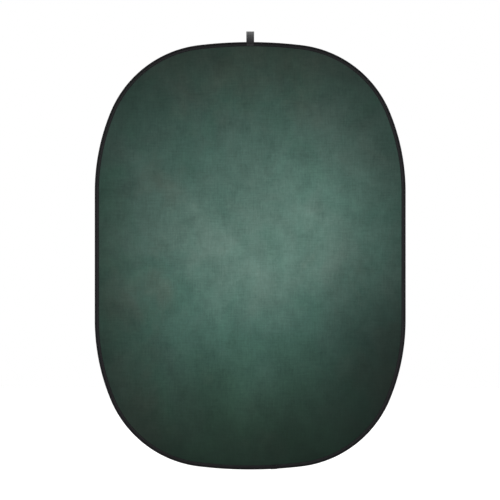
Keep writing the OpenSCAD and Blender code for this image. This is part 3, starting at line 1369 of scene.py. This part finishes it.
@dataclass
class Panel:
    """What every piece of the panel shares: outline, section and slack.

    Attributes:
        outline: The rim's outline.
        section: The folded tape's section.
        slack: How the cloth stands off its flat plane.
        bend: Not used; distance above and below the fold line over which the panel would bend.
        ring: Distance between rings of a swept piece.
    """

    outline: Outline = field(default_factory=Outline)
    section: RimSection = field(default_factory=RimSection)
    slack: Slack = field(default_factory=Slack)
    bend: float = 0.78
    ring: float = 7.5 * MM

    def fold(self, piece: Piece) -> None:
        """Bake a finished piece's placement into its mesh, and log it.

        Args:
            piece: The finished piece.
        """
        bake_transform(piece.object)
        piece.report("folds with both halves")

    def swept(self, name: str, line: Sequence[Vector], begin: float, end: float,
              rounding: float = 0.0, closed_line: bool = False) -> Piece:
        """Sweep a section along the rim.

        Args:
            name: The piece's name.
            line: The section, as (outwards, towards the back, 0).
            begin: Length along the rim where it starts.
            end: Length where it ends.
            rounding: Length cut from each side of the section's corners.
            closed_line: Whether the section closes on itself.

        Returns:
            The piece, with its points still in Python's hands.
        """
        piece = Piece(name)
        piece.wire(line, rounding, closed=closed_line)
        piece.place(self.outline.stand(begin))
        self.outline.carry(piece.bm, piece.bm.verts[:] + piece.bm.edges[:], begin, end, self.ring)
        return piece


@dataclass
class ClothPair:
    """The printed cloth and the plain back cloth, stretched in the binding.

    Attributes:
        panel: The panel that they belong to.
        cloth: Thickness of each cloth.
        edge_depth: Depth of their cut edges inside the rim.
        rings: Widths of the strips that follow the rim, from the edge in.
        grid: Size of the squares in the middle.
        pieces: The cloths made so far.
        area: Flat area of one cloth.
    """

    panel: Panel
    cloth: float = 0.5 * MM
    edge_depth: float = 8.3 * MM
    rings: tuple[float, ...] = (3.7 * MM, 4 * MM, 4 * MM, 5 * MM, 6 * MM, 8 * MM, 10 * MM,
                                12 * MM, 15 * MM, 19 * MM, 24 * MM)
    grid: float = 25 * MM
    pieces: list[Piece] = field(default_factory=list)
    area: float = 0.0

    def build(self, name: str, side: Side, nodes: Sequence[str],
              material: bpy.types.Material) -> None:
        """Make one cloth.

        Args:
            name: The piece's name.
            side: The face that it shows.
            nodes: The CAD nodes that it stands for.
            material: Its finish.
        """
        outline, face = self.panel.outline, side.value * self.panel.section.cloth_half
        piece = Piece(name)
        corner = piece.bm.verts.new((-self.edge_depth, face, 0))
        piece.place(outline.stand(0.0))
        outline.carry(piece.bm, [corner], 0.0, outline.perimeter, self.panel.ring)
        piece.merge()
        bmesh.ops.contextual_create(piece.bm, geom=piece.bm.edges[:])
        middle = piece.bm.faces[:][0]
        self.area = middle.calc_area()
        for width in self.rings:
            bmesh.ops.inset_region(piece.bm, faces=[middle], thickness=width, use_boundary=True,
                                   use_even_offset=True)
        self._square(piece, middle)
        piece.face_outwards(side.out)
        x, z = outline.centre.x, outline.centre.z
        piece.lay_flat(lambda v: (v.co.x - x, v.co.z - z))
        piece.slacken(outline, self.panel.slack)
        piece.finish(material, name)
        piece.thicken(self.cloth)
        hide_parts(*nodes)
        self.panel.fold(piece)
        self.pieces.append(piece)

    def _square(self, piece: Piece, middle: bmesh.types.BMFace) -> None:
        """Cut the middle into squares.

        Args:
            piece: The cloth.
            middle: The one face inside the strips.
        """
        outline = self.panel.outline
        inside = [middle]
        for axis, half in ((0, outline.half_width), (2, outline.half_height)):
            normal = Vector((0, 0, 0))
            normal[axis] = 1.0
            lines = int(half / self.grid)
            for i in range(-lines, lines + 1):
                cut = Vector(outline.centre)
                cut[axis] += i * self.grid
                edges = {e for f in inside for e in f.edges}
                verts = {v for f in inside for v in f.verts}
                made = bmesh.ops.bisect_plane(piece.bm, geom=[*inside, *edges, *verts],
                                              plane_co=cut, plane_no=normal, dist=HAIR)
                inside = [g for g in made["geom"] if isinstance(g, bmesh.types.BMFace)]


@dataclass
class Binding:
    """The tape folded over the rim, its overlap at the bottom, and the bars that close the overlap.

    Attributes:
        panel: The panel that it belongs to.
        rounding: How much the fabric rounds the section's corners.
        lap_from: Length along the rim where the overlap begins.
        lap_length: Length of the overlap.
        lap_gap: Space for the thread below the overlap.
        bar_margin: Distance from each end of the overlap to a bar.
        bar_spread: Distance of a bar's two rows from its middle.
        bar_inset: Distance of a bar's ends from the edges of the flat that it is sewn on.
    """

    panel: Panel
    rounding: float = 1.3 * MM
    lap_from: float = 101.3 * MM
    lap_length: float = 32 * MM
    lap_gap: float = 0.3 * MM
    bar_margin: float = 4 * MM
    bar_spread: float = 0.35 * MM
    bar_inset: float = 2 * MM

    def build_tape(self, material: bpy.types.Material) -> Piece:
        """Make the tape that runs all the way round.

        Args:
            material: Its finish.

        Returns:
            The finished piece.
        """
        panel = self.panel
        line = panel.section.fold(panel.section.tape)
        piece = panel.swept("binding_tape", line, 0.0, panel.outline.perimeter, self.rounding)
        piece.merge()
        self._close(piece, material)
        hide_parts("binding_upper", "binding_lower")
        panel.fold(piece)
        return piece

    def build_lap(self, material: bpy.types.Material) -> None:
        """Make the tape's end, folded over its beginning.

        Args:
            material: Its finish.
        """
        panel = self.panel
        line = panel.section.fold(2 * panel.section.tape + self.lap_gap)
        piece = panel.swept("tape_overlap", line, self.lap_from, self.lap_from + self.lap_length,
                            self.rounding)
        self._close(piece, material)
        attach(piece.object, "lower_half")
        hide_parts("binding_lap")
        piece.report("rides on the lower half")

    def _close(self, piece: Piece, material: bpy.types.Material) -> None:
        """Finish a swept tape: faces outwards, UV map, slack and thickness.

        Args:
            piece: The tape.
            material: Its finish.
        """
        outline = self.panel.outline
        piece.face_outwards(Side.BACK.out)
        piece.lay_along(outline)
        piece.slacken(outline, self.panel.slack)
        piece.finish(material, "binding_tape")
        piece.thicken(self.panel.section.tape)

    def build_bars(self, stitch: Stitch, material: bpy.types.Material) -> None:
        """Make the two bars of dense stitching across each face of the overlap.

        Args:
            stitch: The stitch.
            material: The thread's finish.
        """
        panel = self.panel
        piece = Piece("overlap_bar_stitches")
        low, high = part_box("lap_bartacks")
        lift = (high.y - low.y) / 2 - stitch.height
        deep = -panel.section.tape_width + self.bar_inset
        shallow = -panel.section.flat_depth - self.bar_inset
        bars = (self.bar_margin, self.lap_length - self.bar_margin)
        for bar, side, row in itertools.product(bars, Side, (-self.bar_spread, self.bar_spread)):
            at = panel.outline.stand(self.lap_from + bar + row)
            stitch.sew(piece, at @ Vector((deep, side.value * lift, 0)),
                       at @ Vector((shallow, side.value * lift, 0)), side.out)
        piece.lay_along(panel.outline)
        piece.slacken(panel.outline, panel.slack)
        piece.finish(material, "thread")
        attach(piece.object, "lower_half")
        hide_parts("lap_bartacks")
        piece.report("rides on the lower half")


@dataclass
class Seams:
    """Two rows of lockstitch on each face of the binding.

    Attributes:
        panel: The panel that they belong to.
        stitch: The stitch.
        channel_depth: Depth of the row that closes the channel.
        edge_depth: Depth of the row along the tape's free edge.
    """

    panel: Panel
    stitch: Stitch = field(default_factory=Stitch)
    channel_depth: float = 11.8 * MM
    edge_depth: float = 18 * MM

    def build(self, name: str, depth: float, nodes: Sequence[str],
              material: bpy.types.Material) -> Piece:
        """Make one seam, front and back.

        Args:
            name: The piece's name.
            depth: Its depth inside the rim.
            nodes: The CAD nodes that it stands for.
            material: The thread's finish.

        Returns:
            The finished piece.
        """
        panel, outline = self.panel, self.panel.outline
        piece = Piece(name)
        face = panel.section.cloth_half + panel.section.tape
        turn = Matrix(((0, -1, 0), (0, 0, -1), (1, 0, 0))).to_4x4()  # along the rim, off the front
        start = self.stitch.pitch / 2
        spot = outline.stand(start) @ Matrix.Translation((-depth, -face, 0))
        first = self.stitch.bead(piece, spot @ turn)
        outline.carry(piece.bm, first, start, outline.perimeter / 4 - start, self.stitch.pitch,
                      copies=True)
        centre = Matrix.Translation(-outline.centre)
        piece.place(centre)
        for axis in "XYZ":
            bmesh.ops.mirror(piece.bm, geom=piece.everything(), axis=axis, merge_dist=0)
        piece.place(centre.inverted())
        piece.face_outwards()
        for vert in piece.bm.verts:
            vert[piece.across] = vert.co.y
        piece.lay_along(outline)
        piece.slacken(outline, panel.slack)
        piece.finish(material, "thread")
        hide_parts(*nodes)
        panel.fold(piece)
        return piece


@dataclass
class SpringHoop:
    """The flat steel band that runs in the binding's channel, and the splice of its two ends.

    Attributes:
        panel: The panel that it belongs to.
        depth: Depth of its outer face inside the rim.
        width: Its width, across the rim's thickness.
        thickness: Its thickness.
        rounding: Rounding of its edges.
        splice: Length along the rim where its ends butt.
        gap: Space between the ends.
    """

    panel: Panel
    depth: float = 1.7 * MM
    width: float = 8 * MM
    thickness: float = 1.2 * MM
    rounding: float = 0.25 * MM
    splice: float = 29.3 * MM
    gap: float = 1 * MM

    def build(self, material: bpy.types.Material) -> Piece:
        """Make the band as one open hoop.

        Args:
            material: Its finish.

        Returns:
            The finished piece.
        """
        panel, outline = self.panel, self.panel.outline
        near, far, half = -self.depth, -self.depth - self.thickness, self.width / 2
        line = [Vector((x, y, 0)) for x, y in
                ((near, -half), (near, half), (far, half), (far, -half))]
        piece = panel.swept("spring_hoop", line, self.splice + self.gap / 2,
                            outline.perimeter + self.splice - self.gap / 2,
                            self.rounding, closed_line=True)
        bmesh.ops.holes_fill(piece.bm, edges=[e for e in piece.bm.edges if e.is_boundary], sides=0)
        piece.face_outwards()
        piece.lay_along(outline)
        piece.finish(material, "spring_steel")
        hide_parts("spring_band_upper", "spring_band_lower")
        panel.fold(piece)
        return piece

    def dress_splice(self, sleeve: bpy.types.Material, wrap: bpy.types.Material) -> None:
        """Give the sleeve, rivets and shrink tube their finishes.

        Args:
            sleeve: The plated steel.
            wrap: The shrink tube's plastic.
        """
        for name, material in (("splice_sleeve", sleeve), ("splice_rivets", sleeve),
                               ("splice_wrap", wrap)):
            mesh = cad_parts[name].data
            mesh.materials.clear()
            mesh.materials.append(material)
            log.info("%s: finish %s", name, material.name)


@dataclass
class HangingStrap:
    """One length of webbing: up one face of the rim, round the eye, and down the other face.

    Attributes:
        panel: The panel that it hangs.
        width: Width of the webbing.
        webbing: Its thickness.
        eye_outer: Outer radius of the eye.
        throat_angle: Half of the angle where the layers open into the eye, in degrees.
        leg_depth: How far its legs reach down inside the rim's edge.
        lift: Space between a leg's inner face and the tape's inner face.
        flex_below: Not used; how far below the flex line the webbing would start to bend.
        flex_above: Not used; how far above it the bend would end.
        top_rise: Height above the rim of the corner where a leg turns in.
        meet_rise: Height above the rim where the two layers meet.
        meet_half: Distance of a layer's outer face from the middle there, in thicknesses.
        rounding: Length cut from each side of the webbing's corners.
        joining: Distance within which the points of its two halves are joined.
        layer_gap: How much thinner the webbing is made, so that its layers lie just apart.
        columns: Strips across the width.
        eye_steps: Pieces in each half of the eye.
        stitch: The stitch of its boxes.
    """

    panel: Panel
    width: float = 38 * MM
    webbing: float = 1.6 * MM
    eye_outer: float = 10.1 * MM
    throat_angle: float = 48.0
    leg_depth: float = 19 * MM
    lift: float = 2.7 * MM
    flex_below: float = 4.6 * MM
    flex_above: float = 5.4 * MM
    top_rise: float = 0.6 * MM
    meet_rise: float = 10.4 * MM
    meet_half: float = 1.05
    rounding: float = 1.5 * MM
    joining: float = 0.01 * MM
    layer_gap: float = 0.04 * MM
    columns: int = 10
    eye_steps: int = 16
    stitch: Stitch = field(default_factory=lambda: Stitch(pitch=3.0 * MM, length=2.7 * MM))

    @property
    def rim_top(self) -> float:
        """Height of the rim's top edge."""
        return self.panel.outline.centre.z + self.panel.outline.half_height

    def bend(self, piece: Piece) -> None:
        """Bake a finished piece's placement into its mesh, and log it.

        Args:
            piece: The finished piece.
        """
        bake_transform(piece.object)
        piece.report("bends between the upper half and the loop")

    def _half_line(self) -> list[Vector]:
        """Draw the back half of the webbing's outer face, along its left edge.

        Returns:
            The corners of its line, from the leg's end to the point where the eye begins.
        """
        leg = self.panel.section.face(self.lift)
        angle = math.radians(self.throat_angle)
        eye_z, eye_y = -self.eye_outer * math.sin(angle), self.eye_outer * math.cos(angle)
        throat_z = eye_z - (eye_y - self.webbing) / math.tan(angle)
        above_rim = [(-self.leg_depth, leg[0].y), (leg[1].x, leg[1].y), (leg[2].x, leg[2].y),
                     (self.top_rise, leg[2].y), (self.meet_rise, self.meet_half * self.webbing)]
        places = [(self.rim_top + rise, y) for rise, y in above_rim]
        places += [(throat_z, self.webbing), (eye_z, eye_y)]
        return [Vector((-self.width / 2, y, z)) for z, y in places]

    def build(self, material: bpy.types.Material) -> None:
        """Make the webbing.

        Args:
            material: Its finish.
        """
        piece = Piece("hanging_strap")
        line = piece.wire(self._half_line(), self.rounding, segments=4)
        top = max(line, key=lambda v: v.co.z)
        bmesh.ops.spin(piece.bm, geom=[top], cent=(0, 0, 0), axis=(1, 0, 0), dvec=(0, 0, 0),
                       angle=math.radians(90 + self.throat_angle), steps=self.eye_steps,
                       use_duplicate=False)
        bmesh.ops.mirror(piece.bm, geom=piece.everything(), axis="Y", merge_dist=self.joining)
        piece.merge(self.joining)
        piece.measure()
        bmesh.ops.spin(piece.bm, geom=piece.everything(), cent=(0, 0, 0), axis=(1, 0, 0),
                       dvec=(self.width / self.columns, 0, 0), angle=0, steps=self.columns,
                       use_duplicate=False)
        piece.face_outwards(Vector((0, 0, 1)))
        piece.lay_flat(lambda v: (v.co.x, v[piece.across]))
        piece.slacken(self.panel.outline, self.panel.slack)
        piece.finish(material, "webbing", sharp=50)
        piece.thicken(self.webbing - self.layer_gap)
        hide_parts("hanging_loop", "strap_saddle")
        self.bend(piece)

    def build_boxes(self, name: str, node: str, material: bpy.types.Material) -> Piece:
        """Make a crossed box of stitches on both faces, where a CAD node has it.

        Args:
            name: The piece's name.
            node: The CAD node that it stands for.
            material: The thread's finish.

        Returns:
            The finished piece, not yet on a body.
        """
        piece = Piece(name)
        low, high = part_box(node)
        inset = self.stitch.width / 2
        for side in Side:
            face = side.value * ((high.y - low.y) / 2 - self.stitch.height)
            corners = [Vector((x, face, z)) for x, z in
                       ((low.x + inset, low.z + inset), (high.x - inset, low.z + inset),
                        (high.x - inset, high.z - inset), (low.x + inset, high.z - inset))]
            self.stitch.box(piece, corners, side.out)
        piece.lay_flat(lambda v: (v.co.x, v.co.z))
        piece.slacken(self.panel.outline, self.panel.slack)
        piece.finish(material, "thread")
        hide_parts(node)
        return piece


@dataclass(frozen=True)
class Lamp:
    """One soft square lamp, aimed at the panel's middle.

    Attributes:
        name: Its name.
        place: Where it hangs, from the panel's middle, in metres.
        power: Its power, in watts.
        size: Its side, in metres.
    """

    name: str
    place: tuple[float, float, float]
    power: float
    size: float = 2.6

    def hang(self, middle: Vector) -> None:
        """Put the lamp in the scene.

        Args:
            middle: The panel's middle.
        """
        data = bpy.data.lights.new(self.name, "AREA")
        data.size = self.size
        data.energy = self.power
        lamp = put_in_scene(self.name, data)
        lamp.location = middle + Vector(self.place)
        lamp.rotation_euler = (-Vector(self.place)).to_track_quat("-Z", "Y").to_euler()


@dataclass
class Studio:
    """The room: a pale floor, soft light from both sides and the camera.

    Attributes:
        outline: The rim, which the camera is aimed by.
        lens: Focal length, in millimetres.
        sensor: Sensor width, in millimetres.
        view_width: Width of the view at the panel, in metres.
        aside: How far the view's middle lies to the right of the panel's, in metres.
        rise: Height of the view's middle above the panel's middle, in metres.
        view_depth: How far the camera sees, in metres.
        floor_gap: Distance from the panel's bottom down to the floor, in metres.
        floor_size: Width of the floor, in metres.
        lamps: The lamps.
        sky: Strength of the light from straight above.
        sky_spread: How wide that light is, in degrees.
    """

    outline: Outline
    lens: float = 100.0
    sensor: float = 36.0
    view_width: float = 2.4455
    aside: float = -1 * MM
    rise: float = 28.4 * MM
    view_depth: float = 100.0
    floor_gap: float = 0.3
    floor_size: float = 14.0
    lamps: tuple[Lamp, ...] = (Lamp("key", (-3.2, -4.6, 1.9), 75),
                               Lamp("fill", (3.4, -4.2, 0.4), 28),
                               Lamp("back", (0.6, 4.6, 1.6), 60))
    sky: float = 0.7
    sky_spread: float = 70.0

    def build_camera(self) -> None:
        """Aim a long lens square at the printed side."""
        data = bpy.data.cameras.new("camera")
        data.lens = self.lens
        data.sensor_width = self.sensor
        data.clip_end = self.view_depth
        camera = put_in_scene("camera", data)
        distance = self.view_width * self.lens / self.sensor
        centre = self.outline.centre
        camera.location = (centre.x + self.aside, -distance, centre.z + self.rise)
        camera.rotation_euler = (math.pi / 2, 0, 0)
        bpy.context.scene.camera = camera

    def build_floor(self, material: bpy.types.Material) -> None:
        """Lay the floor.

        Args:
            material: Its finish.
        """
        piece = Piece("studio_floor")
        bmesh.ops.create_grid(piece.bm, x_segments=8, y_segments=8, size=self.floor_size / 2)
        bottom = self.outline.centre.z - self.outline.half_height
        piece.place(Matrix.Translation((0, 0, bottom - self.floor_gap)))
        piece.to_object(material)

    def build_lights(self) -> None:
        """Hang the lamps and light the room evenly."""
        world = bpy.data.worlds.new("studio")
        bpy.context.scene.world = world
        world.use_nodes = True
        background = world.node_tree.nodes["Background"]
        background.inputs["Color"].default_value = (1.0, 1.0, 1.0, 1.0)
        background.inputs["Strength"].default_value = 1.0
        for lamp in self.lamps:
            lamp.hang(self.outline.centre)
        self._light_floor()
        bpy.context.scene.view_settings.view_transform = "Standard"

    def _light_floor(self) -> None:
        """Light the floor softly from straight above, so that it stays as pale as the room."""
        data = bpy.data.lights.new("skylight", "SUN")
        data.energy = self.sky
        data.angle = math.radians(self.sky_spread)
        put_in_scene("skylight", data)


def main() -> None:
    """Build the backdrop, piece by piece, and the studio round it."""
    logging.basicConfig(level=logging.INFO, format="%(name)s: %(message)s")
    panel = Panel()
    tape, thread = BindingTape(panel.outline.perimeter).make(), Thread().make()

    cloths = ClothPair(panel)
    cloths.build("printed_cloth", Side.PRINTED, ("front_cloth_upper", "front_cloth_lower"),
                 PaintedCloth().make())
    cloths.build("back_cloth", Side.BACK, ("back_cloth_upper", "back_cloth_lower"),
                 PlainCloth().make())

    binding = Binding(panel)
    bound = binding.build_tape(tape)
    binding.build_lap(tape)
    binding.build_bars(Stitch(pitch=1.0 * MM, length=1.3 * MM, width=0.6 * MM), thread)

    seams = Seams(panel)
    sewn = [seams.build("channel_seam", seams.channel_depth,
                        ("channel_seam_upper", "channel_seam_lower"), thread),
            seams.build("edge_seam", seams.edge_depth,
                        ("edge_seam_upper", "edge_seam_lower"), thread)]

    hoop = SpringHoop(panel)
    band = hoop.build(SpringSteel().make())
    hoop.dress_splice(SleeveSteel().make(), ShrinkWrap().make())

    strap = HangingStrap(panel)
    strap.build(Webbing().make())
    heavy = Thread("webbing_thread", dark=(0.018, 0.018, 0.019), lit=(0.072, 0.072, 0.076)).make()
    strap.bend(strap.build_boxes("stem_box_stitches", "loop_box_stitch", heavy))
    legs = strap.build_boxes("leg_box_stitches", "saddle_stitch", heavy)
    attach(legs.object, "upper_half")
    legs.report("rides on the upper half")

    studio = Studio(panel.outline)
    studio.build_floor(StudioFloor().make())
    studio.build_lights()
    studio.build_camera()


if __name__ == "__main__":
    main()
